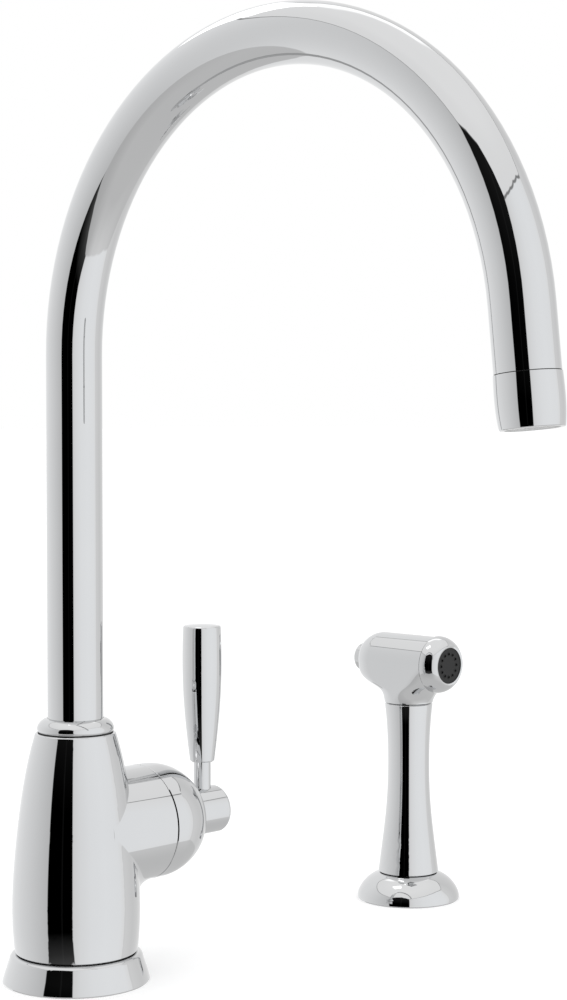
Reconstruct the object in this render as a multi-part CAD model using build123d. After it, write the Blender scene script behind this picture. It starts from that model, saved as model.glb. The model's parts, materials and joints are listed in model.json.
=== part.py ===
from build123d import *
import os
from math import asin, atan2, cos, radians, sin, sqrt, tan

# A kitchen faucet with one side lever, a turning gooseneck spout, and a hand spray in its own deck holder.
# Sizes are in millimetres. The origin is the middle of the faucet's base on the deck and +Z is up.
# The spout points to -Y. The lever and the hand spray stand to +X.

# Clearances
running = 0.08  # radial gap of a turning or sliding fit
seat = 0.3  # gap between faces of pieces that move on each other
fixed = 0.03  # radial gap of pieces that are fixed to each other
seam = 0.35  # the dark line between two chrome pieces that are screwed together
lip = 0.6  # size of a small broken edge

# Worktop and its fixings
worktop = 25.0  # thickness of the worktop that the fixings are set for
rubber_thickness = 3.0
clamp_thickness = 2.0
nut_height = 8.0
nut_overhang = 6.5  # from a shank to the middle of a flat of its nut
nut_corner = 2.5  # from there out to the nut's turned-off corners
nut_rounding = 2.0
washer_overhang = 10.0  # how far a rubber washer reaches beyond its shank
clamp_lap = 1.0  # of a clamp washer beyond the rubber one
shank_chamfer = 1.0
gasket_thickness = 1.5
gasket_inset = 2.0  # from the rim of a base to its gasket
shank_radius = 16.5
shank_wall = 2.6
shank_length = 60.0  # below the worktop's surface
shank_thread = 10.5  # of the shank in the body
spray_shank_radius = 11.5
spray_shank_wall = 2.1
spray_shank_length = 46.0
spray_shank_thread = 4.0

# Base ring and body
base_radius = 33.5
base_height = 12.95
base_skirt = ((1.1, 0.35), (2.25, 0.62), (3.3, 0.88))  # in from the rim, and share of the height
base_shoulder = 4.2  # in from the rim to the middle of the rounding above the skirt
base_shoulder_share = 0.97
base_lap = 3.0  # how far the body's foot overlaps its spigot in the ring
body_foot_radius = 28.0
body_belly_radius = 29.15
body_belly_height = 33.0
body_flank_radius = 28.0
body_flank_height = 56.0
body_shoulder_radius = 25.45
body_shoulder_height = 79.0
body_neck_radius = 21.95
body_neck_height = 99.5
body_top_radius = 18.6
body_top_height = 113.7
body_top_rounding = 1.0

# Valve branch and the dome that turns on its end
branch_height = 67.1
branch_radius = 26.87
branch_length = 38.85
branch_wall = 2.47
dome_skirt = 6.15  # from the branch's end to the middle of the dome's ball
dome_wall = 2.8

# Cartridge, along the branch
chamber_depth = 23.35
chamber_step = 4.1  # from the nut's thread in to the chamber's wall
port_pitch = 9.0  # from the branch's axis to each of the two inlet ports
outlet_offset = 4.0  # of the outlet port below the branch's axis
port_radius = 2.4
port_seal_height = 1.0
port_seal_wall = 1.4
housing_play = 0.1  # radial, in the chamber
housing_wall = 2.2
housing_base = 2.5
housing_top = 2.0
housing_length = 21.0
fixed_disc_thickness = 3.0
moving_disc_thickness = 5.2
disc_gap = 0.05
disc_room = 0.5  # left beside the moving disc at the end of its travel
disc_floor = 2.2  # under the well for the spindle's ball
disc_recess = 1.2  # depth of the mixing recess under the disc
disc_rim = 1.1  # round the recess
disc_land = 1.6  # how far the recess reaches above the branch's axis
rotor_neck_radius = 11.2
rotor_reach = 5.5  # of the rotor's neck beyond the lever's pivot
nut_thread_length = 4.5
nut_web = 2.5
nut_sleeve_wall = 2.9
nut_sleeve_length = 8.0  # beyond the branch's end

# Lever
lever_tilt = 17.0  # degrees, outward
spindle_radius = 3.0
spindle_tail_radius = 1.8
spindle_tail_length = 8.0
spindle_ball_radius = 2.2
spindle_pin_radius = 1.5
spindle_depth = 10.5  # in the hub
hub_radius = 11.3
hub_length = 16.65  # beyond the dome's tip
hub_rounding = 1.8
hub_screw_radius = 2.0
hub_screw_length = 5.0
hub_screw_socket = 1.8
stem_place = 7.4  # of the stem's axis beyond the dome's tip
stem_radius = 4.1
stem_foot = 5.0  # of the stem above the hub's axis
stem_in_grip = 18.0
grip_rise = 23.9  # of the grip above the hub's axis
grip_length = 65.6
grip_foot_radius = 5.9
grip_lower_radius = 7.87
grip_lower_place = 17.7  # above the grip's foot
grip_upper_radius = 9.17
grip_upper_place = 35.2
grip_widest_radius = 9.45
grip_widest_place = 50.0
grip_top_radius = 9.1
grip_crown = 0.6

# Inlets in the body's foot, and the diverter under the spout
inlet_offset = 3.5
inlet_radius = 4.5
inlet_depth = 12.0
spray_port_offset = 8.5
channel_radius = 2.6
diverter_radius = 8.0
diverter_height = 8.8
diverter_wall = 2.2
diverter_floor_thickness = 1.0
diverter_inlet_radius = 2.5
diverter_window_radius = 1.4
diverter_window_height = 5.0
diverter_windows = 6
piston_length = 3.2
piston_stalk_radius = 1.8
piston_stalk_length = 1.4
piston_seal_height = 1.2
piston_seal_depth = 1.2

# Spout
tube_radius = 12.7
tube_wall = 1.2
arc_radius = 128.14
arc_height = 285.1  # of the arc's middle above the deck
arc_sweep = 173.6  # degrees
tail_length = 25.35  # straight tube beyond the arc
socket_depth = 27.9  # from the body's top to the foot of the spout's socket
socket_radius = 13.98
ledge_depth = 13.7  # from the body's top to the ledge that carries the spout
spigot_flange = 3.0
spigot_flange_radius = 15.3
spigot_bore = 9.5
tube_depth = 17.2  # of the tube below the body's top
ring_groove_depth = 1.7
ring_groove_height = 2.0
ring_grooves = (3.2, 6.9)  # above the spigot's foot
ring_section = 0.85
collar_thread_radius = 16.2
collar_sleeve_wall = 1.9
collar_lid = 1.0
collar_radius = 17.5
collar_bead = ((0.0, 0.27), (1.3, 0.7))  # in from the rim, and share of the height
collar_top_radius = 13.9
collar_height = 6.3
aerator_radius = 13.15
aerator_flank = ((0.0, 0.3), (0.1, 0.65))  # in from the widest, and share of the length
aerator_length = 20.5
aerator_mouth_radius = 12.35
aerator_bore = 10.4
aerator_ledge = 1.6
aerator_spigot = 8.0
aerator_recess = 1.6
aerator_seal_height = 1.5
insert_thickness = 5.0
insert_hole_radius = 0.9
insert_circles = ((12, 7.6), (6, 4.0))  # how many holes, and how far out

# Spray holder
spray_distance = 230.65
holder_radius = 26.95
holder_bell = ((0.35, 0.25), (2.1, 0.5), (5.0, 0.74))  # in from the rim, and share of the height
holder_height = 13.75
holder_top_radius = 15.7
liner_wall = 2.0
liner_funnel = 1.0

# Hand spray, standing in its holder
spray_foot_radius = 15.9
spray_lower_radius = 13.67
spray_lower_height = 32.4
spray_middle_radius = 11.66
spray_middle_height = 51.7
spray_waist_radius = 10.97
spray_waist_height = 73.0
spray_upper_radius = 11.5
spray_upper_height = 91.2
spray_neck_radius = 12.64
spray_neck_height = 104.6
spray_bore = 6.0
tail_play = 0.2
tail_drop = 6.0  # of the tail plug below the deck
tail_taper = 1.0
tail_socket = 12.0  # of the tail plug in the grip
nipple_radius = 6.2
nipple_bore = 3.5
nipple_length = 15.0
nipple_root_radius = 5.0
nipple_root_length = 8.0  # in the tail plug
neck_spigot_radius = 9.5
neck_spigot_length = 9.0
head_rise = 21.8  # of the barrel's axis above the grip
neck_rises = (0, 0.15, 0.3, 0.45, 0.6, 0.8, 1, 1.2)  # shares of the way up to the barrel's axis
neck_advances = (0, 0.05, 0.19, 0.41, 0.57, 0.78, 1, 1.22)  # shares of the way to the barrel's front
neck_retreats = (0, 0.02, 0.13, 0.52, 0.84, 0.97, 1, 0.97)  # shares of the way to its rounded rear
barrel_radius = 14.4
barrel_front = 19.3  # from the neck's axis to the nozzle ring
barrel_rear = 31.5
barrel_wall = 2.2
nozzle_radius = 15.0
nozzle_front = 28.4
nozzle_spigot = 5.0
nozzle_bore = 7.4
nozzle_rim = 0.9
face_radius = 9.4
face_place = 27.7
face_thickness = 3.0
face_holes = 12
face_hole_radius = 0.6
face_hole_circle = 6.1
button_radius = 7.4
button_end = 33.3
button_length = 7.0
button_socket = 3.0
valve_rod_radius = 1.8
valve_head_radius = 3.0
valve_head_length = 1.1
valve_seat_place = 8.0  # in front of the neck's axis
valve_seat_thickness = 3.0
valve_seat_bore = 4.0
valve_disc_radius = 5.6
valve_disc_thickness = 1.8
gland_place = 12.5  # of the rod's gland behind the neck's axis
gland_thickness = 2.0
spring_wire_radius = 0.45
spring_inset = 1.6
spring_turns = 4

# Places worked out from the sizes above
body_foot = base_height + seam
shank_top = gasket_thickness + shank_thread
shank_bore = shank_radius - shank_wall
tube_bore = tube_radius - tube_wall
ledge = body_top_height - ledge_depth
socket_floor = body_top_height - socket_depth
diverter_floor = socket_floor - diverter_height
tube_foot = body_top_height - tube_depth
thread_radius = branch_radius - branch_wall
chamber_radius = thread_radius - chamber_step
chamber_floor = branch_length - chamber_depth
nut_foot = branch_length - nut_thread_length
housing_radius = chamber_radius - housing_play
housing_bore = housing_radius - housing_wall
housing_foot = chamber_floor + port_seal_height
housing_end = housing_foot + housing_length
fixed_disc_foot = housing_foot + housing_base
moving_disc_foot = fixed_disc_foot + fixed_disc_thickness + disc_gap
moving_disc_top = moving_disc_foot + moving_disc_thickness
pivot = branch_length + dome_skirt
ball_place = moving_disc_foot + disc_floor + spindle_ball_radius + running
disc_travel = (pivot - ball_place) * sin(radians(lever_tilt))
moving_disc_radius = housing_bore - disc_travel - disc_room
inlet_side = port_pitch * cos(radians(30))
inlet_rise = branch_height + port_pitch * sin(radians(30))
outlet_height = branch_height - outlet_offset
dome_tip = pivot + branch_radius
hub_end = dome_tip + hub_length
lever_axis = dome_tip + stem_place
spindle_end = dome_tip + seat + spindle_depth
grip_foot = branch_height + grip_rise
grip_top = grip_foot + grip_length
spray_shank_bore = spray_shank_radius - spray_shank_wall
spray_shank_top = gasket_thickness + spray_shank_thread
tail_radius = spray_shank_bore - seat
liner_radius = tail_radius + tail_play + liner_wall
spray_foot = holder_height + seat
tail_top = spray_foot + tail_socket
head_height = spray_neck_height + head_rise
head_foot = spray_neck_height + seam
barrel_bore = barrel_radius - barrel_wall
button_inner = button_length - button_end
turn = radians(arc_sweep)
arc_end = (0, arc_radius * (cos(turn) - 1), arc_height + arc_radius * sin(turn))
tail = Plane(arc_end, (1, 0, 0), (0, -sin(turn), cos(turn)))
holder_place = Pos(spray_distance, 0, 0)
head_place = Pos(spray_distance, 0, head_height) * Rot(90, 0, 0)
branch = Pos(0, 0, branch_height) * Rot(0, 90, 0)
pivot_pin = Pos(pivot, 0, branch_height) * Rot(90, 0, 0)
lever_stand = Pos(lever_axis, 0, 0)
nodes = {}


def lathe(start, *steps):
    """A solid turned about Z. A step is a corner (radius, height), a list of two points for an arc through
    them, or a longer list for a smooth curve through its points."""
    edges = []
    here = start
    for step in (*steps, start):
        points = step if isinstance(step, list) else [step]
        through = [(radius, 0, height) for radius, height in (here, *points)]
        curve = (Line, ThreePointArc, Spline)[min(len(points), 3) - 1]
        edges.append(curve(*through))
        here = points[-1]
    return revolve(make_face(edges), Axis.Z)


def quarter(radius, height, size, rise):
    """A rounded outer edge: where it starts, and its arc. It ends a turned piece's side with rise 1, and
    begins it with rise -1, where the start and the end change places."""
    inset = size * (1 - sin(radians(45)))
    side = (radius, height - rise * size)
    middle = (radius - inset, height - rise * inset)
    face = (radius - size, height)
    return (side, [middle, face]) if rise > 0 else (face, [middle, side])


def crown(radius, height, rise):
    """A shallow domed end: the arc from its rim to its middle on the axis."""
    ball = (radius ** 2 + rise ** 2) / (2 * rise)
    return [(radius / 2, height + rise - ball + sqrt(ball ** 2 - radius ** 2 / 4)), (0, height + rise)]


def flank_points(radius, foot, height, shape):
    """Points along a turned side, from pairs of the distance in from the radius and the share of height."""
    return [(radius - inset, foot + share * height) for inset, share in shape]


def ring(outer, inner, low, high):
    return lathe((inner, low), (outer, low), (outer, high), (inner, high))


def rod(radius, low, high):
    return Pos(0, 0, low) * Cylinder(radius, high - low, align=(Align.CENTER, Align.CENTER, Align.MIN))


def around(count, distance):
    """Places at equal steps round the Z axis."""
    return [Rot(0, 0, 360 * i / count) * Pos(distance, 0, 0) for i in range(count)]


def upright_slot(corners, half_width):
    """A slot seen from the front as a polygon of (x, z) corners, cut this far to both sides."""
    edges = []
    for (x, z), (next_x, next_z) in zip(corners, corners[1:] + corners[:1]):
        edges.append(Line((x, 0, z), (next_x, 0, next_z)))
    return extrude(make_face(edges), half_width, dir=(0, 1, 0), both=True)


def deck_fixing(prefix, place, radius, bore, top, length):
    """A threaded shank with its rubber washer, clamp washer and nut below the worktop."""
    clamp_top = -worktop - rubber_thickness
    nut_top = clamp_top - clamp_thickness
    nut_low = nut_top - nut_height
    hole = radius + fixed
    washer = radius + washer_overhang
    corner = radius + nut_overhang + nut_corner
    hexagon = RegularPolygon(radius + nut_overhang, 6, major_radius=False)
    nut = Pos(0, 0, nut_low) * extrude(hexagon, nut_height)
    nut &= lathe((hole, nut_low), *quarter(corner, nut_low, nut_rounding, -1),
                 *quarter(corner, nut_top, nut_rounding, 1), (hole, nut_top))
    shank = lathe((bore, -length), (radius - shank_chamfer, -length), (radius, shank_chamfer - length),
                  (radius, top), (bore, top))
    nodes[prefix + "_shank"] = place * shank
    nodes[prefix + "_rubber_washer"] = place * ring(washer, hole, clamp_top, -worktop)
    nodes[prefix + "_clamp_washer"] = place * ring(washer + clamp_lap, hole, nut_top, clamp_top)
    nodes[prefix + "_shank_nut"] = place * nut


def base():
    """The flared ring that the body stands in, and its gasket on the worktop."""
    gasket_radius = base_radius - gasket_inset
    recess = gasket_radius + fixed
    body_bore = body_foot_radius - base_lap + fixed
    skirt = flank_points(base_radius, 0, base_height, base_skirt)
    shoulder = (base_radius - base_shoulder, base_shoulder_share * base_height)
    nodes["base_ring"] = lathe(
        (recess, 0), (base_radius - lip / 2, 0), (base_radius, lip), skirt,
        [shoulder, (body_foot_radius - seam, base_height)],
        (body_bore, base_height), (body_bore, gasket_thickness), (recess, gasket_thickness))
    nodes["base_gasket"] = ring(gasket_radius, shank_radius + lip, 0, gasket_thickness)


def body():
    """The cast body: a swelling column with the valve branch, bored for water, cartridge and spout."""
    top_side, top_arc = quarter(body_top_radius, body_top_height, body_top_rounding, 1)
    flank = [(body_belly_radius, body_belly_height), (body_flank_radius, body_flank_height),
             (body_shoulder_radius, body_shoulder_height), (body_neck_radius, body_neck_height), top_side]
    column = lathe((0, body_foot), (body_foot_radius - lip, body_foot), (body_foot_radius, body_foot + lip),
                   flank, top_arc, (0, body_top_height))
    column += branch * lathe((0, 0), (branch_radius, 0), (branch_radius, branch_length - lip / 2),
                             (branch_radius - lip / 2, branch_length), (0, branch_length))
    column += rod(body_foot_radius - base_lap, gasket_thickness, body_foot)
    column -= rod(shank_radius + fixed, gasket_thickness, shank_top)
    column -= branch * rod(chamber_radius, chamber_floor, nut_foot)
    column -= branch * rod(thread_radius + fixed, nut_foot, branch_length)
    column -= rod(socket_radius, socket_floor, ledge)
    column -= rod(collar_thread_radius + fixed, ledge, body_top_height)
    column -= rod(diverter_radius, diverter_floor, socket_floor)
    for side in (-1, 1):
        inlet = Pos(inlet_offset, side * inlet_side, 0)
        port = Pos(0, side * inlet_side, inlet_rise) * Rot(0, 90, 0)
        column -= inlet * rod(inlet_radius, shank_top, shank_top + inlet_depth)
        column -= inlet * rod(channel_radius, shank_top, inlet_rise)
        column -= port * rod(port_radius, inlet_offset, chamber_floor)
    spray_port = Pos(-spray_port_offset, 0, 0)
    column -= spray_port * rod(inlet_radius, shank_top, shank_top + inlet_depth)
    column -= spray_port * rod(channel_radius, shank_top, diverter_floor + diverter_window_height)
    column -= Pos(0, 0, outlet_height) * Rot(0, 90, 0) * rod(port_radius, 0, chamber_floor)
    column -= rod(port_radius, outlet_height, diverter_floor)
    nodes["tap_body"] = column


def diverter():
    """The cage below the spout, and the piston that lifts in it when the hand spray is shut."""
    cage_bore = diverter_radius - diverter_wall
    floor_top = diverter_floor + diverter_floor_thickness
    cage = ring(diverter_radius - fixed, cage_bore, diverter_floor, socket_floor)
    cage += ring(cage_bore, diverter_inlet_radius, diverter_floor, floor_top)
    for place in around(diverter_windows, cage_bore):
        window = Rot(0, 90, 0) * rod(diverter_window_radius, -lip, diverter_wall + lip)
        cage -= Pos(0, 0, diverter_floor + diverter_window_height) * place * window
    side = cage_bore - running
    foot = floor_top + disc_gap
    top = foot + piston_length
    groove = foot + (piston_length - piston_seal_height) / 2
    groove_top = groove + piston_seal_height
    core = side - piston_seal_depth
    nodes["diverter_cage"] = cage
    nodes["diverter_piston"] = lathe(
        (0, foot), (side, foot), (side, groove), (core, groove), (core, groove_top), (side, groove_top),
        (side, top), (piston_stalk_radius, top), (piston_stalk_radius, top + piston_stalk_length),
        (0, top + piston_stalk_length))
    nodes["diverter_seal"] = ring(side, core, groove, groove_top)


def spout():
    """The bent tube, its spigot and rings in the body, and the collar nut round its foot."""
    foot = (0, 0, tube_foot)
    bend = (0, 0, arc_height)
    crest = (0, arc_radius * (cos(turn / 2) - 1), arc_height + arc_radius * sin(turn / 2))
    tip = tail.from_local_coords((0, 0, tail_length))
    path = Line(foot, bend) + ThreePointArc(bend, crest, arc_end) + Line(arc_end, tip)
    outside = sweep(Plane(foot) * Circle(tube_radius), path)
    inside = sweep(Plane(foot) * Circle(tube_bore), path)
    nodes["spout_tube"] = outside - inside

    side = socket_radius - running
    spigot_foot = socket_floor + seat
    flange_foot = ledge + seat
    flange_top = flange_foot + spigot_flange
    tube_seat = tube_radius + fixed
    spigot = lathe((spigot_bore, spigot_foot), (side, spigot_foot), (side, flange_foot),
                   (spigot_flange_radius, flange_foot), (spigot_flange_radius, flange_top),
                   (tube_seat, flange_top), (tube_seat, tube_foot), (spigot_bore, tube_foot))
    groove = side - ring_groove_depth
    seals = Part()
    for height in ring_grooves:
        low = spigot_foot + height
        spigot -= ring(side + lip, groove, low, low + ring_groove_height)
        seals += Pos(0, 0, low + ring_groove_height / 2) * Torus(groove + ring_section, ring_section)
    nodes["spout_spigot"] = spigot
    nodes["spout_seal_rings"] = seals

    collar_foot = body_top_height + seam
    collar_top = collar_foot + collar_height
    collar_bore = tube_radius + running
    sleeve_bore = collar_thread_radius - collar_sleeve_wall
    sleeve_foot = flange_top + seat
    lid = collar_foot - collar_lid
    bead = flank_points(collar_radius, collar_foot, collar_height, collar_bead)
    nodes["spout_collar"] = lathe(
        (sleeve_bore, sleeve_foot), (collar_thread_radius, sleeve_foot), (collar_thread_radius, collar_foot),
        (collar_radius - lip, collar_foot), [*bead, (collar_top_radius, collar_top - lip / 2)],
        (collar_bore, collar_top), (collar_bore, lid), (sleeve_bore, lid))
    nodes["spout_glide_ring"] = ring(sleeve_bore - running, tube_seat, flange_top, lid - seat)


def aerator():
    """The barrel screwed into the spout's end, with its insert and seal."""
    shoulder = tail_length + seam
    mouth = shoulder + aerator_length
    insert_mouth = mouth - aerator_recess
    insert_foot = insert_mouth - insert_thickness
    seal_foot = insert_foot - aerator_seal_height
    spigot_foot = shoulder - aerator_spigot
    waterway = aerator_bore - aerator_ledge
    side = tube_bore - fixed
    flank = flank_points(aerator_radius, shoulder, aerator_length, aerator_flank)
    nodes["aerator_barrel"] = tail * lathe(
        (waterway, spigot_foot), (side, spigot_foot), (side, shoulder), (aerator_radius - lip / 3, shoulder),
        [*flank, (aerator_mouth_radius, mouth - lip / 2)], (aerator_mouth_radius - lip / 2, mouth),
        (aerator_bore, mouth), (aerator_bore, seal_foot), (waterway, seal_foot))
    insert = rod(aerator_bore - fixed, insert_foot, insert_mouth)
    for count, distance in insert_circles:
        for place in around(count, distance):
            insert -= place * rod(insert_hole_radius, insert_foot, insert_mouth)
    nodes["aerator_insert"] = tail * insert
    nodes["aerator_seal"] = tail * ring(aerator_bore - fixed, waterway, seal_foot, insert_foot)


def cartridge():
    """The valve in the branch: housing, discs, rotor and the nut that holds them."""
    neck_hole = rotor_neck_radius + running
    housing_lid = housing_end - housing_top
    housing = lathe((neck_hole, housing_lid), (housing_bore, housing_lid), (housing_bore, fixed_disc_foot),
                    (0, fixed_disc_foot), (0, housing_foot), (housing_radius, housing_foot),
                    (housing_radius, housing_end), (neck_hole, housing_end))
    disc = rod(housing_bore - fixed, fixed_disc_foot, fixed_disc_foot + fixed_disc_thickness)
    seals = Part()
    inlets = [Pos(branch_height - inlet_rise, side * inlet_side, 0) for side in (-1, 1)]
    for place in (*inlets, Pos(outlet_offset, 0, 0)):
        housing -= place * rod(port_radius, housing_foot, fixed_disc_foot)
        disc -= place * rod(port_radius, fixed_disc_foot, fixed_disc_foot + fixed_disc_thickness)
        seals += place * ring(port_radius + port_seal_wall, port_radius, chamber_floor, housing_foot)
    nodes["cartridge_housing"] = branch * housing
    nodes["cartridge_port_seals"] = branch * seals
    nodes["fixed_disc"] = branch * disc

    recess_radius = moving_disc_radius - disc_rim
    width = 2 * recess_radius
    land = Pos(-disc_land - recess_radius, 0, 0) * Box(width, width, 2 * branch_length)
    moving = rod(moving_disc_radius, moving_disc_foot, moving_disc_top)
    moving -= rod(spindle_ball_radius + running, moving_disc_foot + disc_floor, moving_disc_top)
    moving -= rod(recess_radius, moving_disc_foot, moving_disc_foot + disc_recess) - land
    nodes["moving_disc"] = branch * moving

    rotor_foot = moving_disc_top + seat / 2
    flange_end = housing_lid - seat
    neck_end = pivot + rotor_reach
    rotor = rod(housing_bore - running, rotor_foot, flange_end) + rod(rotor_neck_radius, flange_end, neck_end)
    half = spindle_radius + seat
    lean = tan(radians(lever_tilt))
    wide = half / cos(radians(lever_tilt))
    low = rotor_foot - lip
    high = neck_end + lip
    slot = upright_slot([(low, branch_height - half), (pivot, branch_height - half),
                         (high, branch_height - (high - pivot) * lean - wide), (high, branch_height + half),
                         (pivot, branch_height + half), (low, branch_height + (pivot - low) * lean + wide)],
                        half)
    pin_hole = rod(spindle_pin_radius + fixed, -rotor_neck_radius, rotor_neck_radius)
    rotor = branch * rotor - slot - pivot_pin * pin_hole
    pin_half = rotor_neck_radius - lip
    nodes["cartridge_rotor"] = rotor
    nodes["spindle_pin"] = pivot_pin * rod(spindle_pin_radius, -pin_half, pin_half)

    sleeve_end = branch_length + nut_sleeve_length
    web_end = housing_end + nut_web
    neck_room = rotor_neck_radius + seat
    sleeve_bore = thread_radius - nut_sleeve_wall
    over_housing = housing_radius + fixed
    nodes["cartridge_nut"] = branch * lathe(
        (over_housing, nut_foot), (thread_radius, nut_foot), (thread_radius, sleeve_end),
        (sleeve_bore, sleeve_end), (sleeve_bore, web_end), (neck_room, web_end),
        (neck_room, housing_end), (over_housing, housing_end))


def dome():
    """The dome that turns with the lever. Its slot lets the spindle tilt."""
    foot = branch_length + seat
    outer = branch_radius
    inner = outer - dome_wall
    guide = thread_radius + running
    guide_end = branch_length + nut_sleeve_length + seat
    guide_rim = sqrt(inner ** 2 - (guide_end - pivot) ** 2)
    middle = atan2(guide_rim, guide_end - pivot) / 2
    slant = sin(radians(45))
    shell = lathe((guide, foot), (outer - lip / 2, foot), (outer, foot + lip / 2), (outer, pivot),
                  [(outer * slant, pivot + outer * slant), (0, dome_tip)], (0, pivot + inner),
                  [(inner * sin(middle), pivot + inner * cos(middle)), (guide_rim, guide_end)],
                  (guide, guide_end))
    half = spindle_radius + seat
    rise = asin(half / inner)
    drop = rise + radians(lever_tilt)
    near = inner / 2
    far = outer + lip
    slot = upright_slot([(pivot + near, branch_height + near * tan(rise)),
                         (pivot + far, branch_height + far * tan(rise)),
                         (pivot + far, branch_height - far * tan(drop)),
                         (pivot + near, branch_height - near * tan(drop))], half)
    nodes["handle_dome"] = branch * shell - slot


def lever():
    """The spindle, the hub that rides on the dome, and the stem with its tapered grip."""
    tail_end = ball_place + spindle_tail_length
    spindle = rod(spindle_radius, tail_end, spindle_end) + rod(spindle_tail_radius, ball_place, tail_end)
    spindle += Pos(0, 0, ball_place) * Sphere(spindle_ball_radius)
    pin_hole = pivot_pin * rod(spindle_pin_radius + running, -rotor_neck_radius, rotor_neck_radius)
    nodes["spindle"] = branch * spindle - pin_hole

    hub = lathe((0, pivot), (hub_radius, pivot), *quarter(hub_radius, hub_end, hub_rounding, 1), (0, hub_end))
    hub -= Pos(0, 0, pivot) * Sphere(branch_radius + seat)
    hub -= rod(spindle_radius + fixed, pivot, spindle_end)
    stem_low = branch_height + stem_foot
    screw_top = branch_height - spindle_radius - fixed
    screw_foot = screw_top - hub_screw_length
    hub = branch * hub - lever_stand * rod(stem_radius + fixed, stem_low, branch_height + 2 * hub_radius)
    hub -= lever_stand * rod(hub_screw_radius + fixed, branch_height - 2 * hub_radius, branch_height)
    key = extrude(RegularPolygon(hub_screw_radius / 2, 6, major_radius=False), hub_screw_socket)
    screw = rod(hub_screw_radius, screw_foot, screw_top) - Pos(0, 0, screw_foot) * key
    nodes["lever_hub"] = hub
    nodes["hub_grub_screw"] = lever_stand * screw

    stem_top = grip_foot + stem_in_grip
    bore = stem_radius + fixed
    nodes["lever_stem"] = lever_stand * rod(stem_radius, stem_low, stem_top)
    flank = [(grip_lower_radius, grip_foot + grip_lower_place),
             (grip_upper_radius, grip_foot + grip_upper_place),
             (grip_widest_radius, grip_foot + grip_widest_place), (grip_top_radius, grip_top - 2 * lip)]
    top_rim = grip_top_radius - 2 * lip
    nodes["lever_grip"] = lever_stand * lathe(
        (bore, grip_foot), (grip_foot_radius - lip, grip_foot), (grip_foot_radius, grip_foot + lip), flank,
        [(grip_top_radius - lip / 2, grip_top - lip / 2), (top_rim, grip_top)],
        crown(top_rim, grip_top, grip_crown), (0, stem_top), (bore, stem_top))


def spray_holder():
    """The bell on the deck that the hand spray stands in, its liner and gasket."""
    gasket_radius = holder_radius - gasket_inset
    recess = gasket_radius + fixed
    shoulder = spray_shank_top
    shank_hole = spray_shank_radius + fixed
    liner_hole = liner_radius + fixed
    liner_bore = tail_radius + tail_play
    bell = flank_points(holder_radius, 0, holder_height, holder_bell)
    nodes["spray_base"] = holder_place * lathe(
        (recess, 0), (holder_radius - lip / 2, 0), (holder_radius, lip),
        [*bell, (holder_top_radius + 2 * lip, holder_height - lip)], (holder_top_radius, holder_height),
        (liner_hole, holder_height), (liner_hole, shoulder), (shank_hole, shoulder),
        (shank_hole, gasket_thickness), (recess, gasket_thickness))
    gasket = ring(gasket_radius, spray_shank_radius + lip, 0, gasket_thickness)
    nodes["spray_base_gasket"] = holder_place * gasket
    liner_top = holder_height - seat
    nodes["spray_liner"] = holder_place * lathe(
        (liner_bore, shoulder), (liner_radius, shoulder), (liner_radius, liner_top),
        (liner_bore + liner_funnel, liner_top), (liner_bore, liner_top - liner_funnel))


def hand_spray():
    """The grip with its tail plug and hose nipple."""
    flank = [(spray_lower_radius, spray_lower_height), (spray_middle_radius, spray_middle_height),
             (spray_waist_radius, spray_waist_height), (spray_upper_radius, spray_upper_height),
             (spray_neck_radius, spray_neck_height - lip)]
    inside = tail_radius + fixed
    spigot_hole = neck_spigot_radius + fixed
    spigot_floor = spray_neck_height - neck_spigot_length
    nodes["spray_grip"] = holder_place * lathe(
        (inside, spray_foot), (spray_foot_radius - lip, spray_foot), (spray_foot_radius, spray_foot + lip),
        flank, (spray_neck_radius - lip, spray_neck_height), (spigot_hole, spray_neck_height),
        (spigot_hole, spigot_floor), (spray_bore, spigot_floor), (spray_bore, tail_top), (inside, tail_top))
    nipple_hole = nipple_root_radius + fixed
    nipple_top = nipple_root_length - tail_drop
    nipple_foot = -tail_drop - nipple_length
    nodes["spray_tail"] = holder_place * lathe(
        (nipple_hole, -tail_drop), (tail_radius - tail_taper, -tail_drop), (tail_radius, 0),
        (tail_radius, tail_top), (spray_bore, tail_top), (spray_bore, nipple_top), (nipple_hole, nipple_top))
    nodes["hose_nipple"] = holder_place * lathe(
        (nipple_bore, nipple_foot), (nipple_radius - lip, nipple_foot), (nipple_radius, nipple_foot + lip),
        (nipple_radius, -tail_drop), (nipple_root_radius, -tail_drop), (nipple_root_radius, nipple_top),
        (nipple_bore, nipple_top))


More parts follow.
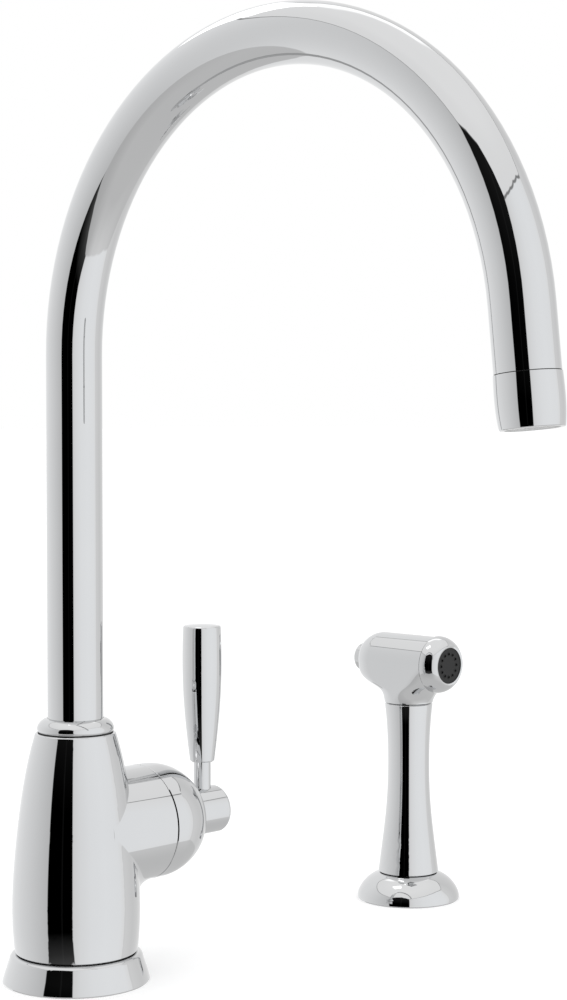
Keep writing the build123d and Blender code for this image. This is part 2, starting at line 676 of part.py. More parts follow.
def spray_head():
    """The T-shaped head: a barrel across a swelling neck, with its nozzle ring and rubber face."""
    rise = head_height - head_foot
    ball = barrel_radius * sin(radians(45))
    ball_middle = barrel_radius - barrel_rear
    sections = []
    for share, advance, retreat in zip(neck_rises, neck_advances, neck_retreats):
        half = spray_neck_radius + (barrel_radius - spray_neck_radius) * sin(radians(90 * share))
        front = -lip / 4 - advance * (barrel_front - lip / 4)
        rear = lip / 4 - retreat * (ball_middle + lip / 4)
        outline = [ThreePointArc((half, front), (0, front - half), (-half, front)),
                   Line((-half, front), (-half, rear)),
                   ThreePointArc((-half, rear), (0, rear + half), (half, rear)),
                   Line((half, rear), (half, front))]
        sections.append(Pos(0, 0, head_foot + share * rise) * make_face(outline))
    neck = holder_place * loft(sections)
    cut = 4 * barrel_radius
    ahead = Pos(spray_distance, -barrel_front - cut / 2, head_height) * Box(cut, cut, cut)
    below = Pos(spray_distance, 0, head_height - cut / 2) * Box(cut, 2 * cut, cut)
    barrel = lathe((0, -barrel_rear), [(ball, ball_middle - ball), (barrel_radius, ball_middle)],
                   (barrel_radius, barrel_front), (0, barrel_front))
    spigot_floor = spray_neck_height - neck_spigot_length
    head = head_place * barrel - below + ((neck & below) - ahead)
    head += holder_place * rod(neck_spigot_radius, spigot_floor, head_foot)
    gland_rear = -gland_place - gland_thickness
    head -= head_place * rod(barrel_bore, -gland_place, barrel_front)
    head -= head_place * rod(button_radius + running, -button_end, gland_rear)
    head -= head_place * rod(valve_rod_radius + running, gland_rear, -gland_place)
    head -= holder_place * rod(spray_bore, spigot_floor, head_height)
    nodes["spray_head"] = head

    ring_foot = barrel_front + seam
    spigot_foot = ring_foot - nozzle_spigot
    side = barrel_bore - fixed
    face_bore = face_radius + fixed
    face_foot = face_place - face_thickness
    round_foot = ring_foot + lip / 2
    round_length = nozzle_front - round_foot
    rim = face_radius + nozzle_rim
    inset = nozzle_radius - rim
    rounding = (inset ** 2 + round_length ** 2) / (2 * inset)
    halfway = asin(round_length / rounding) / 2
    bulge = (nozzle_radius - rounding * (1 - cos(halfway)), round_foot + rounding * sin(halfway))
    nodes["nozzle_ring"] = head_place * lathe(
        (nozzle_bore, spigot_foot), (side, spigot_foot), (side, ring_foot),
        (nozzle_radius - lip / 2, ring_foot), (nozzle_radius, round_foot), [bulge, (rim, nozzle_front)],
        (face_bore, nozzle_front - lip / 2), (face_bore, face_foot), (nozzle_bore, face_foot))
    face = rod(face_radius, face_foot, face_place)
    for place in around(face_holes, face_hole_circle):
        face -= place * rod(face_hole_radius, face_foot, face_place)
    nodes["spray_face"] = head_place * face


def spray_valve():
    """The push button behind the head, and the rod, disc, seat and spring that it works."""
    seat_top = valve_seat_place + valve_seat_thickness
    disc_foot = seat_top + disc_gap
    disc_top = disc_foot + valve_disc_thickness
    rod_hole = valve_rod_radius + fixed
    rod_foot = button_inner - button_socket
    rod_top = disc_top + valve_head_length
    nodes["valve_seat"] = head_place * ring(barrel_bore - fixed, valve_seat_bore, valve_seat_place, seat_top)
    nodes["valve_seal"] = head_place * ring(valve_disc_radius, rod_hole, disc_foot, disc_top)
    nodes["valve_rod"] = head_place * lathe(
        (0, rod_foot), (valve_rod_radius, rod_foot), (valve_rod_radius, disc_top),
        (valve_head_radius, disc_top), (valve_head_radius, rod_top), (0, rod_top))
    button = lathe((0, -button_end), *quarter(button_radius, -button_end, 2 * lip, -1),
                   (button_radius, button_inner), (0, button_inner))
    nodes["spray_button"] = head_place * (button - rod(rod_hole, rod_foot, button_inner))
    low = button_inner + spring_wire_radius
    high = -gland_place - gland_thickness - spring_wire_radius
    coil = Pos(0, 0, low) * Helix((high - low) / spring_turns, high - low, button_radius - spring_inset)
    start = Plane(coil @ 0, z_dir=coil % 0)
    nodes["valve_spring"] = head_place * sweep(start * Circle(spring_wire_radius), coil)


base()
body()
diverter()
spout()
aerator()
cartridge()
dome()
lever()
spray_holder()
hand_spray()
spray_head()
spray_valve()
deck_fixing("body", Pos(0, 0, 0), shank_radius, shank_bore, shank_top, shank_length)
deck_fixing("spray", holder_place, spray_shank_radius, spray_shank_bore, spray_shank_top, spray_shank_length)

os.makedirs("parts", exist_ok=True)
for name, shape in nodes.items():
    export_step(shape, f"parts/{name}.step")
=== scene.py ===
"""Side spray kitchen faucet: finishes, added detail and studio, in metres, in the model's frame."""
import json
from math import cos, hypot, pi, radians, sin, sqrt, tau

import bmesh
import bpy
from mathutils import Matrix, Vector
from mathutils.bvhtree import BVHTree

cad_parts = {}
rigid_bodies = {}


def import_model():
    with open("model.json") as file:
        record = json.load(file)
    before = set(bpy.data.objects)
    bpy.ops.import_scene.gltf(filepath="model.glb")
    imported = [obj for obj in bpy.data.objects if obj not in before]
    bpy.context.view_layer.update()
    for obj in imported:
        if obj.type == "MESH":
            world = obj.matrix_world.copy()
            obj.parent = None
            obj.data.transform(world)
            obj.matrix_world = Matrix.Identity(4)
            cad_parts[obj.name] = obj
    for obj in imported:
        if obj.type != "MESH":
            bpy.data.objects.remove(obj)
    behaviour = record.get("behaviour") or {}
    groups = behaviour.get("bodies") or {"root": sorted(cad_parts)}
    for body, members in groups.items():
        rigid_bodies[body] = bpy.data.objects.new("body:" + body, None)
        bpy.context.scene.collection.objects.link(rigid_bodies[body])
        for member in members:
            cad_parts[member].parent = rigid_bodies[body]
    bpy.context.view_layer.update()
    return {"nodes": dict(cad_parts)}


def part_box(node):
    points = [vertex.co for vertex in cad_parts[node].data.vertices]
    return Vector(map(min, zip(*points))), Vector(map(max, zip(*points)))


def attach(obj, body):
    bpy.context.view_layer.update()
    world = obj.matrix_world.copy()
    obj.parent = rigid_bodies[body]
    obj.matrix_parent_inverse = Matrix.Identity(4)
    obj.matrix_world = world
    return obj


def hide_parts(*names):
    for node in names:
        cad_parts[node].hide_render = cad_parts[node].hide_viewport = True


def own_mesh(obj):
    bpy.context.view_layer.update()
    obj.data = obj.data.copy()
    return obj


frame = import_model()
nodes = frame["nodes"]

# ---- Camera, solved from the photograph
camera_place = Vector((-0.626356, -0.746058, 0.261230))
camera_bearing = radians(44.4065)      # how far the line of sight lies round from +X
camera_dip = radians(2.469)            # and below the horizon
sensor_width = 36.0
lens_length = 77.07

# ---- Studio, as the polished metal sees it: a black panel between two pale walls, a ceiling and a
# floor. Bearings are in degrees round from the camera's side and grow to the camera's right.
panel_left = -47.0
panel_right = -0.7
panel_line = -20.0
corner_right = 103.0
corner_left = -124.0
joint_core = 0.25                      # half width of the ceiling joint's darkest part, in degrees
joint_edge = 0.65                      # and of the whole joint
joint_strength = 0.8                   # share of the dark shade in its darkest part
floor_reach = 20.0
softbox_place = Vector((-1.3, -0.5, 1.6))
softbox_aim = Vector((0.08, -0.05, 0.15))
strip_place = Vector((0.0482, 0.0890, 0.6203))
strip_aim = Vector((0.0, -0.06, 0.42))
strip_turn = -0.551                    # radians about its own line of aim

# ---- Added detail, in metres
upward = Vector((0, 0, 1))
forward = Vector((0, -1, 0))           # the way the spray's nozzle points
tube_sides = 8                         # of an oval section
thread_sides = 48
thread_steps = 6                       # along each turn of a thread
face_holes = 12
face_hole_circle = 0.0061
nub_ring = 0.00085                     # from a hole's middle to the middle of its collar
nub_width = 0.00022                    # half of the collar's width
nub_height = 0.0002                    # and of its height
nub_sides = 20
ring_sides = 72
seam_width = 0.00035
# Dark sealing rings set back in the seams, whose dark colour is painted shade for each gap.
shade_seal_height = 0.00016                  # half of a shade seal's height
foot_shade_seal = (0.0252, 0.0273)           # each shade seal's inner and outer radius
collar_shade_seal = (0.0163, 0.0172)
head_shade_seal = (0.0097, 0.0119)
nozzle_shade_seal = (0.0124, 0.0147)
spout_end_shade_seal = (0.0116, 0.0126)
spout_lean = radians(6.4)              # of the spout's end, forward from straight down
aerator_axis = Vector((0, -sin(spout_lean), -cos(spout_lean)))
aerator_seam_rise = 0.01675            # from the seam to the middle of the insert
screen_rise = 0.0036                   # from the middle of the insert to the screen
screen_radius = 0.0101
screen_rings = 4
screen_ribs = 12
screen_rib = 0.0003                    # half of a rib's width
screen_depth = 0.0004                  # and of its depth
spring_wire = 0.00045                  # radius
spring_turns = 4
spring_steps = 24                      # in each turn
fillet_radius = 0.012
fillet_least = 0.0001
fillet_reach = radians(78)             # to each side of the branch's underside
fillet_sink = 0.00002                  # of the fillet's edges in the metal beside it
fillet_back = 1.2                      # puts its hidden back in the metal; 1 is a square corner's tip
fillet_steps = 64
fillet_parts = 14
crease = radians(40)                   # a steeper fold shows as an edge


def node_tree(owner, output):
    """An empty shader tree and its output node."""
    owner.use_nodes = True
    tree = owner.node_tree
    tree.nodes.clear()
    return tree, tree.nodes.new(output)


def put(tree, socket, value):
    """Sets a socket to a value, or links it to another node's output."""
    if isinstance(value, bpy.types.NodeSocket):
        tree.links.new(value, socket)
    else:
        socket.default_value = value


def add(tree, kind, inputs=None, **settings):
    """A node with its settings and inputs, which go by name or number."""
    node = tree.nodes.new(kind)
    for name, value in settings.items():
        setattr(node, name, value)
    for name, value in (inputs or {}).items():
        put(tree, node.inputs[name], value)
    return node


def calc(tree, operation, *values):
    """One step of arithmetic."""
    return add(tree, "ShaderNodeMath", dict(enumerate(values)), operation=operation).outputs[0]


def blend(tree, factor, first, second):
    """Two colours mixed; 0, 6 and 7 are the node's factor and colour sockets."""
    inputs = {0: factor, 6: first, 7: second}
    return add(tree, "ShaderNodeMix", inputs, data_type="RGBA").outputs[2]


def grey(level, warmth=0.0):
    """A colour near grey, bluer where warmth is below 0."""
    return (level * (1 + warmth), level, level * (1 - warmth), 1.0)


def ramp(tree, factor, stops):
    """A colour ramp over (place, colour) stops."""
    node = add(tree, "ShaderNodeValToRGB", {"Fac": factor})
    elements = node.color_ramp.elements
    elements.remove(elements[-1])
    for place, _ in stops[1:]:
        elements.new(place)
    for element, (place, colour) in zip(elements, stops):
        element.position = place
        element.color = colour
    return node.outputs["Color"]


def spread(tree, value, low, high, new_low=0.0, new_high=1.0):
    """A value's range moved to another."""
    numbers = {"Value": value, "From Min": low, "From Max": high, "To Min": new_low, "To Max": new_high}
    return add(tree, "ShaderNodeMapRange", numbers).outputs[0]


# ---- Studio and camera

def make_camera():
    """The camera that took the photograph, as solved from it."""
    data = bpy.data.cameras.new("camera")
    data.sensor_width = sensor_width
    data.lens = lens_length
    data.clip_start = 0.01
    data.clip_end = 100.0
    camera = bpy.data.objects.new("camera", data)
    bpy.context.scene.collection.objects.link(camera)
    level = cos(camera_dip)
    sight = Vector((cos(camera_bearing) * level, sin(camera_bearing) * level, -sin(camera_dip)))
    camera.location = camera_place
    camera.rotation_euler = sight.to_track_quat("-Z", "Y").to_euler()
    bpy.context.scene.camera = camera


def make_world():
    """The studio by direction, and plain white where the camera sees nothing else."""
    world = bpy.data.worlds.new("studio")
    bpy.context.scene.world = world
    tree, output = node_tree(world, "ShaderNodeOutputWorld")
    direction = add(tree, "ShaderNodeTexCoord").outputs["Generated"]
    turn = {"Vector": direction, "Angle": pi - camera_bearing}
    turned = add(tree, "ShaderNodeVectorRotate", turn, rotation_type="Z_AXIS").outputs[0]
    parts = add(tree, "ShaderNodeSeparateXYZ", {0: turned}).outputs
    bearing = calc(tree, "ARCTAN2", parts["Y"], parts["X"])
    around = spread(tree, bearing, -pi, pi)
    rise = spread(tree, calc(tree, "ARCSINE", parts["Z"]), -pi / 2, pi / 2, -90.0, 90.0)

    def at(degrees, level, warmth=0.0):
        return (0.5 + degrees / 360, grey(level, warmth))

    def up(degrees, level):
        return (0.5 + degrees / 180, grey(level))

    def height(degrees_round, degrees_up):
        return at(degrees_round, degrees_up / 90)

    walls = ramp(tree, around, [
        at(-180, 1.00, -0.005),
        at(-150, 1.03, -0.006),
        at(corner_left, 1.02, -0.006),
        at(-105, 0.96, -0.006),
        at(-85, 0.885, -0.006),
        at(-65, 0.79, -0.006),
        at(panel_left, 0.70, -0.004),
        at(panel_right, 0.92),
        at(12, 1.02, -0.008),
        at(32, 1.09, -0.012),
        at(60, 1.12, -0.014),
        at(corner_right - 12, 1.10, -0.012),
        at(corner_right - 1, 1.04),
        at(corner_right, 0.80),
        at(corner_right + 1.5, 0.92),
        at(corner_right + 25, 0.83),
        at(165, 0.88),
        at(180, 0.96),
    ])
    upright = spread(tree, rise, -90.0, 90.0)
    # The panel widens towards its foot, and a faint pale line runs up it.
    middle = radians((panel_left + panel_right) / 2)
    offset = calc(tree, "MULTIPLY", calc(tree, "SUBTRACT", bearing, middle),
                  spread(tree, rise, -30.0, -18.0, 0.86, 1.0))
    across = spread(tree, calc(tree, "ADD", offset, middle), -pi, pi)
    panel = ramp(tree, across, [
        at(panel_left - 0.4, 0.0),
        at(panel_left + 0.4, 1.0),
        at(panel_right - 0.4, 1.0),
        at(panel_right + 0.4, 0.0),
    ])
    sheen = ramp(tree, upright, [
        up(-32, 0.09), up(-25, 0.035), up(-17, 0.0), up(5, 0.0), up(35, 0.011),
    ])
    line = ramp(tree, across, [
        at(panel_line - 1.5, 0.0), at(panel_line, 0.010), at(panel_line + 1.5, 0.0),
    ])
    black = add(tree, "ShaderNodeMix", {0: 1.0, 6: sheen, 7: line}, data_type="RGBA", blend_type="ADD")
    walls = blend(tree, panel, walls, black.outputs[2])
    # How far the ceiling and the floor lie from the horizon, in degrees. Both come nearer to it at
    # the panel's edges and at the right-hand corner.
    ceiling_line = ramp(tree, around, [
        height(-180, 46), height(-150, 44), height(-120, 41), height(-95, 38.5), height(-62, 38),
        height(panel_left, 36), height(-36, 41), height(-22, 44), height(-10, 41),
        height(panel_right, 36), height(14, 40), height(34, 43.5), height(60, 45),
        height(85, 42.5), height(corner_right, 37.5), height(122, 42), height(150, 45),
        height(180, 46),
    ])
    floor_line = ramp(tree, around, [
        height(-180, 28), height(-150, 33), height(-120, 33), height(-95, 31), height(-62, 29),
        height(panel_left, 27), height(-36, 30), height(-22, 31.5), height(-10, 30),
        height(panel_right, 28), height(8, 30), height(25, 33), height(50, 35),
        height(80, 33.5), height(corner_right, 28), height(125, 30), height(180, 28),
    ])
    above = calc(tree, "SUBTRACT", rise, calc(tree, "MULTIPLY", ceiling_line, 90.0))
    fall = calc(tree, "MULTIPLY", rise, -1.0)
    below = calc(tree, "SUBTRACT", fall, calc(tree, "MULTIPLY", floor_line, 90.0))
    ceiling = ramp(tree, upright, [up(38, 1.045), up(52, 1.06), up(64, 1.095)])
    floor_near = ramp(tree, around, [
        at(-180, 0.68), at(-100, 0.72), at(-60, 0.62), at(-22, 0.57), at(2, 0.64),
        at(25, 0.86), at(55, 0.94), at(85, 0.86), at(112, 0.74), at(180, 0.68),
    ])
    down = spread(tree, rise, -33.0, -55.0)
    floor = blend(tree, down, floor_near, grey(0.71))
    room = blend(tree, spread(tree, above, -0.3, 0.3), walls, ceiling)
    room = blend(tree, spread(tree, below, -0.5, 0.5), room, floor)
    # A thin dark joint runs along the ceiling. The one down the right-hand corner is in the walls.
    off_joint = calc(tree, "ABSOLUTE", above)
    joint = spread(tree, off_joint, joint_core, joint_edge, joint_strength, 0.0)
    room = blend(tree, joint, room, grey(0.12))
    # A wide lamp hangs behind the object.
    behind = ramp(tree, around, [at(-153, 1), at(-147, 0), at(150, 0), at(156, 1)])
    tall = ramp(tree, upright, [up(47, 0), up(50, 1), up(58, 1), up(63, 0)])
    lamp = calc(tree, "MULTIPLY", behind, tall)
    room = blend(tree, lamp, room, grey(1.6))
    path = add(tree, "ShaderNodeLightPath").outputs
    seen = blend(tree, path["Is Camera Ray"], room, grey(1.0))
    lit = add(tree, "ShaderNodeBackground", {"Color": seen, "Strength": 1.0})
    tree.links.new(lit.outputs[0], output.inputs["Surface"])


def make_floor():
    """A wide pale floor that keeps the shadow. The metal sees the studio's floor in its place."""
    mesh = bpy.data.meshes.new("floor")
    shape = bmesh.new()
    corners = [(-1, -1), (1, -1), (1, 1), (-1, 1)]
    shape.faces.new([shape.verts.new((x * floor_reach, y * floor_reach, 0)) for x, y in corners])
    shape.to_mesh(mesh)
    shape.free()
    floor = bpy.data.objects.new("floor", mesh)
    bpy.context.scene.collection.objects.link(floor)
    floor.visible_glossy = False
    material = bpy.data.materials.new("floor")
    tree, output = node_tree(material, "ShaderNodeOutputMaterial")
    plain = add(tree, "ShaderNodeBsdfDiffuse", {"Color": grey(0.80)})
    lift = add(tree, "ShaderNodeEmission", {"Color": grey(1.0), "Strength": 0.30})
    white = add(tree, "ShaderNodeAddShader", {0: plain.outputs[0], 1: lift.outputs[0]})
    path = add(tree, "ShaderNodeLightPath").outputs
    seen = {0: path["Is Camera Ray"], 1: plain.outputs[0], 2: white.outputs[0]}
    mixed = add(tree, "ShaderNodeMixShader", seen)
    tree.links.new(mixed.outputs[0], output.inputs["Surface"])
    mesh.materials.append(material)


def make_lamp(name, place, aim, width, height, watts):
    """A rectangular lamp that faces a point."""
    data = bpy.data.lights.new(name, "AREA")
    data.shape = "RECTANGLE"
    data.size = width
    data.size_y = height
    data.energy = watts
    lamp = bpy.data.objects.new(name, data)
    bpy.context.scene.collection.objects.link(lamp)
    lamp.location = place
    lamp.rotation_euler = (aim - place).to_track_quat("-Z", "Y").to_euler()
    return lamp


def make_lamps():
    """A soft lamp high on the camera's left, for the shadow alone, and a small one close behind the
    arch, whose top mirrors it as a white strip."""
    softbox = make_lamp("softbox", softbox_place, softbox_aim, width=0.9, height=0.6, watts=6.0)
    softbox.visible_glossy = False
    strip = make_lamp("strip_lamp", strip_place, strip_aim, width=0.1433, height=0.1509, watts=0.11)
    strip.rotation_euler.rotate_axis("Z", strip_turn)
    strip.visible_camera = False


# ---- Finishes

def shader(name, **uniform):
    """A material with a Principled shader, whose uniform values are set on its own sockets."""
    material = bpy.data.materials.new(name)
    tree, output = node_tree(material, "ShaderNodeOutputMaterial")
    values = {key.replace("_", " ").title(): value for key, value in uniform.items()}
    surface = add(tree, "ShaderNodeBsdfPrincipled", values)
    tree.links.new(surface.outputs[0], output.inputs["Surface"])
    return material, tree, surface


def noise(tree, scale, detail=2.0, stretch=None):
    """Noise in the object's own space, so that it stays with the part as it moves."""
    place = add(tree, "ShaderNodeTexCoord").outputs["Object"]
    if stretch:
        place = add(tree, "ShaderNodeMapping", {"Vector": place, "Scale": stretch}).outputs[0]
    inputs = {"Vector": place, "Scale": scale, "Detail": detail}
    return add(tree, "ShaderNodeTexNoise", inputs).outputs["Fac"]


def bump(tree, surface, height, strength, distance):
    feel = add(tree, "ShaderNodeBump", {"Height": height, "Strength": strength, "Distance": distance})
    put(tree, surface.inputs["Normal"], feel.outputs[0])


def make_chrome():
    """Polished plating: a clean mirror with a faint bloom and hairline wipe marks."""
    material, tree, surface = shader("chrome", metallic=1.0)
    bloom = noise(tree, 18.0, 4.0)
    tone = ramp(tree, bloom, [(0.3, (0.630, 0.634, 0.640, 1)), (0.7, (0.645, 0.648, 0.652, 1))])
    put(tree, surface.inputs["Base Color"], tone)
    wipes = noise(tree, 500.0, 2.0, (1.0, 1.0, 0.06))
    put(tree, surface.inputs["Roughness"], spread(tree, wipes, 0.35, 0.75, 0.006, 0.016))
    return material


def make_rubber():
    material, tree, surface = shader("rubber", roughness=0.75)
    grain = noise(tree, 1500.0, 3.0)
    put(tree, surface.inputs["Base Color"], ramp(tree, grain, [(0.3, grey(0.020)), (0.8, grey(0.034))]))
    bump(tree, surface, grain, 0.3, 0.0001)
    return material


def make_face_rubber():
    material, tree, surface = shader("face_rubber", roughness=0.6)
    grain = noise(tree, 2200.0, 3.0)
    put(tree, surface.inputs["Base Color"], ramp(tree, grain, [(0.3, grey(0.006)), (0.8, grey(0.015))]))
    bump(tree, surface, grain, 0.35, 0.0001)
    return material


def make_plastic(name, low, high):
    material, tree, surface = shader(name, roughness=0.42)
    grain = noise(tree, 1200.0, 3.0)
    put(tree, surface.inputs["Base Color"], ramp(tree, grain, [(0.3, grey(low)), (0.8, grey(high))]))
    bump(tree, surface, grain, 0.2, 0.0001)
    return material


def make_brass():
    material, tree, surface = shader("brass", metallic=1.0)
    tarnish = noise(tree, 120.0, 5.0)
    tone = ramp(tree, tarnish, [(0.3, (0.56, 0.40, 0.18, 1)), (0.75, (0.72, 0.55, 0.27, 1))])
    put(tree, surface.inputs["Base Color"], tone)
    turning = noise(tree, 60.0, 2.0, (1.0, 1.0, 60.0))
    put(tree, surface.inputs["Roughness"], spread(tree, turning, 0.3, 0.7, 0.22, 0.36))
    bump(tree, surface, turning, 0.15, 0.0001)
    return material


def make_steel():
    material, tree, surface = shader("steel", metallic=1.0)
    spangle = noise(tree, 300.0, 4.0)
    put(tree, surface.inputs["Base Color"], ramp(tree, spangle, [(0.3, grey(0.46)), (0.75, grey(0.56))]))
    put(tree, surface.inputs["Roughness"], spread(tree, spangle, 0.3, 0.7, 0.28, 0.42))
    bump(tree, surface, spangle, 0.15, 0.0001)
    return material


finishes = {
    "chrome": make_chrome(),
    "steel": make_steel(),
    "brass": make_brass(),
    "rubber": make_rubber(),
    "face_rubber": make_face_rubber(),
    "black_plastic": make_plastic("black_plastic", 0.018, 0.030),
    "white_plastic": make_plastic("white_plastic", 0.62, 0.70),
    "ceramic": make_plastic("ceramic", 0.66, 0.72),
}


def paint_nodes():
    """Every CAD node takes the finish that its own material slot names."""
    for node in nodes.values():
        for place in node.material_slots:
            kind = place.material.name.split(".")[0]
            place.material = finishes[kind]


def hide_fixings_from_gloss():
    """What hangs below the worktop doesn't mirror in the chrome above it."""
    for piece in bpy.context.scene.objects:
        if piece.type == "MESH":
            corners = [piece.matrix_world @ Vector(corner) for corner in piece.bound_box]
            if min(corner.z for corner in corners) < 0:
                piece.visible_glossy = False


# ---- Added detail

def new_piece(name, body, finish, points, faces):
    """A smooth-shaded mesh piece that rides a body and takes one of the finishes."""
    mesh = bpy.data.meshes.new(name)
    mesh.from_pydata(points, [], faces)
    shape = bmesh.new()
    shape.from_mesh(mesh)
    bmesh.ops.recalc_face_normals(shape, faces=shape.faces)
    shape.to_mesh(mesh)
    shape.free()
    mesh.polygons.foreach_set("use_smooth", [True] * len(mesh.polygons))
    mesh.materials.append(finishes[finish])
    piece = bpy.data.objects.new(name, mesh)
    bpy.context.scene.collection.objects.link(piece)
    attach(piece, body)
    return piece


def grid_faces(rows, columns):
    """Faces of a closed band of points: rows of a closed ring each, the last row joined to the first."""
    faces = []
    for row in range(rows):
        below = row * columns
        above = (row + 1) % rows * columns
        for column in range(columns):
            beside = (column + 1) % columns
            faces.append((below + column, below + beside, above + beside, above + column))
    return faces


def tube_faces(rings, sides=tube_sides):
    """Faces of a tube of closed rings of points, with a cap at each end."""
    last = (rings - 1) * sides
    caps = [tuple(range(sides)), tuple(reversed(range(last, last + sides)))]
    return grid_faces(rings, sides)[:-sides] + caps


def joined(shapes):
    """Several shapes' points and faces as one shape's."""
    points = []
    faces = []
    for more_points, more_faces in shapes:
        faces += [[len(points) + point for point in face] for face in more_faces]
        points += more_points
    return points, faces


def middle_of(node):
    """The middle of a node's box."""
    low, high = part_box(node)
    return (Vector(low) + Vector(high)) / 2


def make_thread(node, body, finish, pitch, depth):
    """A plain threaded node made anew with a helical groove, in the same radius, bore and length."""
    low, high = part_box(node)
    middle = middle_of(node)
    radius = (high[0] - low[0]) / 2
    corners = [point.co - middle for point in nodes[node].data.vertices]
    bore = min(hypot(corner.x, corner.y) for corner in corners)
    length = high[2] - low[2]
    rows = round(length / pitch * thread_steps)
    points = []
    for row in range(rows + 1):
        height = length * row / rows
        fade = min(1.0, height / pitch, (length - height) / pitch)
        for side in range(thread_sides):
            turn = tau * side / thread_sides
            groove = 0.5 - 0.5 * cos(tau * height / pitch - turn)
            reach = radius - depth * max(groove * fade, 1 - fade)
            across = middle.x + reach * cos(turn)
            along = middle.y + reach * sin(turn)
            points.append((across, along, low[2] + height))
    for height in (high[2], low[2]):
        for side in range(thread_sides):
            turn = tau * side / thread_sides
            points.append((middle.x + bore * cos(turn), middle.y + bore * sin(turn), height))
    thread = new_piece(node + ".thread", body, finish, points, grid_faces(rows + 3, thread_sides))
    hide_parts(node)


def oval(centre, across, along):
    """The points of an oval section, from its two half axes."""
    leans = [tau * part / tube_sides for part in range(tube_sides)]
    return [centre + cos(lean) * across + sin(lean) * along for lean in leans]


def ring_shape(centre, axis, radius, half_width, half_height, sides):
    """Points and faces of a ring round an axis, with an oval section."""
    turned = axis.to_track_quat("Z", "Y")
    points = []
    for side in range(sides):
        turn = tau * side / sides
        outward = turned @ Vector((cos(turn), sin(turn), 0))
        points += oval(centre + radius * outward, half_width * outward, half_height * axis)
    return points, grid_faces(sides, tube_sides)


def make_face_nubs():
    """A low soft collar round each hole of the spray's face."""
    middle = middle_of("spray_face")
    middle.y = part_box("spray_face")[0][1]
    collars = []
    for hole in range(face_holes):
        angle = tau * hole / face_holes
        centre = middle + face_hole_circle * Vector((cos(angle), 0, sin(angle)))
        collars.append(ring_shape(centre, forward, nub_ring, nub_width, nub_height, nub_sides))
    new_piece("face_nubs", "handset", "face_rubber", *joined(collars))


def make_seam_shade_seal(name, body, foot, axis, radii):
    """A thin dark sealing ring set back in the seam from foot, between two chrome pieces: painted seam
    shade.
    """
    inner, outer = radii
    centre = foot + axis * seam_width / 2
    radius = (inner + outer) / 2
    shape = ring_shape(centre, axis, radius, (outer - inner) / 2, shade_seal_height, ring_sides)
    new_piece(name, body, "rubber", *shape)


def make_seam_shade_seals():
    """One dark sealing ring, as painted shade, in each seam that looks dark in the photograph."""
    riser = middle_of("base_ring")
    grip = middle_of("spray_grip")
    head = middle_of("nozzle_ring")
    level = {node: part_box(node)[1][2] for node in ("base_ring", "tap_body", "spray_grip")}
    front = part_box("spray_head")[0][1]
    body_foot = Vector((riser.x, riser.y, level["base_ring"]))
    collar_foot = Vector((riser.x, riser.y, level["tap_body"]))
    head_foot = Vector((grip.x, grip.y, level["spray_grip"]))
    nozzle_foot = Vector((head.x, front, head.z))
    spout_end = middle_of("aerator_insert") - aerator_seam_rise * aerator_axis
    make_seam_shade_seal("body_foot_seal", "base", body_foot, upward, foot_shade_seal)
    make_seam_shade_seal("collar_shade_seal", "base", collar_foot, upward, collar_shade_seal)
    make_seam_shade_seal("head_shade_seal", "handset", head_foot, upward, head_shade_seal)
    make_seam_shade_seal("nozzle_shade_seal", "handset", nozzle_foot, forward, nozzle_shade_seal)
    make_seam_shade_seal("aerator_seam_shade_seal", "spout", spout_end, aerator_axis, spout_end_shade_seal)


def make_aerator_screen():
    """The grid flush in the aerator's mouth: rings joined by ribs, in front of the insert."""
    centre = middle_of("aerator_insert") + screen_rise * aerator_axis
    shapes = []
    for ring in range(1, screen_rings + 1):
        radius = screen_radius * ring / screen_rings
        shapes.append(ring_shape(centre, aerator_axis, radius, screen_rib, screen_depth, ring_sides))
    turned = aerator_axis.to_track_quat("Z", "Y")
    for rib in range(screen_ribs):
        angle = tau * rib / screen_ribs
        outward = turned @ Vector((cos(angle), sin(angle), 0))
        beside = turned @ Vector((-sin(angle), cos(angle), 0))
        bar = []
        for reach in (screen_radius / screen_rings, screen_radius):
            bar += oval(centre + reach * outward, screen_rib * beside, screen_depth * aerator_axis)
        shapes.append((bar, tube_faces(2)))
    new_piece("aerator_screen", "spout", "white_plastic", *joined(shapes))


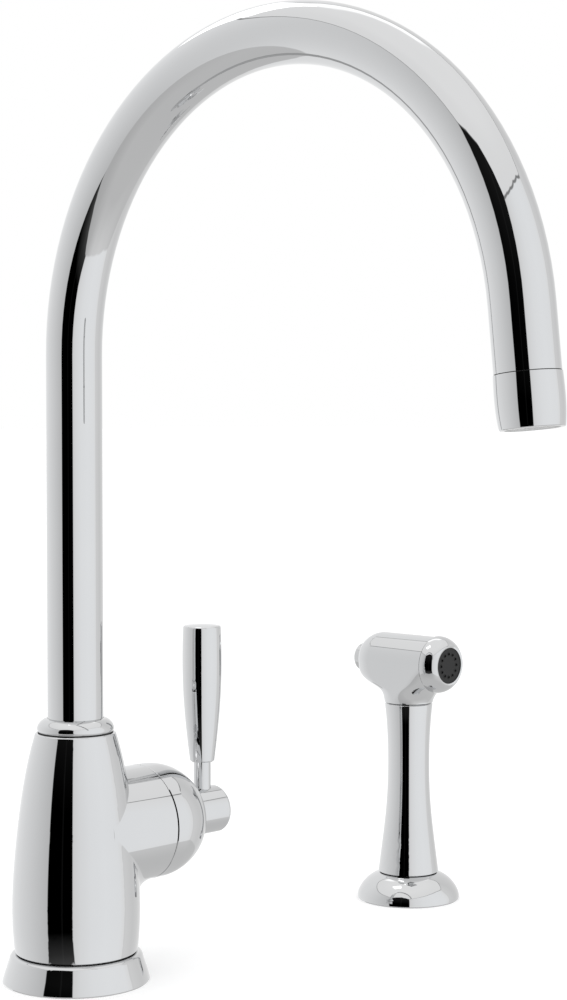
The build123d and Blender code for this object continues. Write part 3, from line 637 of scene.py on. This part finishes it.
def make_spring():
    """The button's coil spring made anew as a coil of wire, with a mesh of its own."""
    low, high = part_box("valve_spring")
    middle = middle_of("valve_spring")
    middle.y = low[1] + spring_wire
    radius = (high[0] - low[0]) / 2 - spring_wire
    length = high[1] - low[1] - 2 * spring_wire
    rows = spring_turns * spring_steps
    points = []
    for row in range(rows + 1):
        turn = tau * row / spring_steps
        outward = Vector((cos(turn), 0, sin(turn)))
        centre = middle + radius * outward + Vector((0, length * row / rows, 0))
        points += oval(centre, spring_wire * outward, Vector((0, spring_wire, 0)))
    spring = new_piece("valve_spring.coil", "handset", "steel", points, tube_faces(rows + 1))
    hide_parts("valve_spring")
    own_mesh(spring)


def make_branch_fillet():
    """The cast fillet in the corner under the valve branch, thinning out towards the branch's sides."""
    low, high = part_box("handle_dome")
    branch_radius = (high[1] - low[1]) / 2
    branch_height = (low[2] + high[2]) / 2
    cast = BVHTree.FromObject(nodes["tap_body"], bpy.context.evaluated_depsgraph_get())
    points = []
    for step in range(fillet_steps + 1):
        share = 2 * step / fillet_steps - 1
        size = fillet_radius * cos(share * pi / 2) + fillet_least
        angle = share * fillet_reach
        side = (branch_radius + size) * sin(angle)
        height = branch_height - (branch_radius + size) * cos(angle)
        body_radius = -cast.ray_cast(Vector((0, -1, height)), Vector((0, 1, 0)))[0].y
        centre = Vector((sqrt((body_radius + size) ** 2 - side ** 2), side, height))
        to_branch = Vector((0, -sin(angle), cos(angle)))
        to_body = Vector((-centre.x, -centre.y, 0)).normalized()
        opening = to_body.angle(to_branch)
        for part in range(fillet_parts + 1):
            lean = opening * part / fillet_parts
            toward = (sin(opening - lean) * to_body + sin(lean) * to_branch) / sin(opening)
            points.append(centre + (size + fillet_sink) * toward)
        points.append(centre + fillet_back * size * (to_body + to_branch))
    faces = tube_faces(fillet_steps + 1, fillet_parts + 2)
    fillet = new_piece("branch_fillet", "base", "chrome", points, faces)
    # The edges beside the casting stay sharp, so that the hidden back doesn't tilt the shading there.
    fillet.data.set_sharp_from_angle(angle=crease)


make_camera()
make_world()
make_floor()
make_lamps()
paint_nodes()
make_thread("body_shank", "base", "brass", pitch=0.002, depth=0.0009)
make_thread("spray_shank", "base", "brass", pitch=0.0015, depth=0.0007)
make_face_nubs()
make_seam_shade_seals()
make_aerator_screen()
make_spring()
make_branch_fillet()
hide_fixings_from_gloss()
bpy.context.scene.view_settings.view_transform = "Standard"
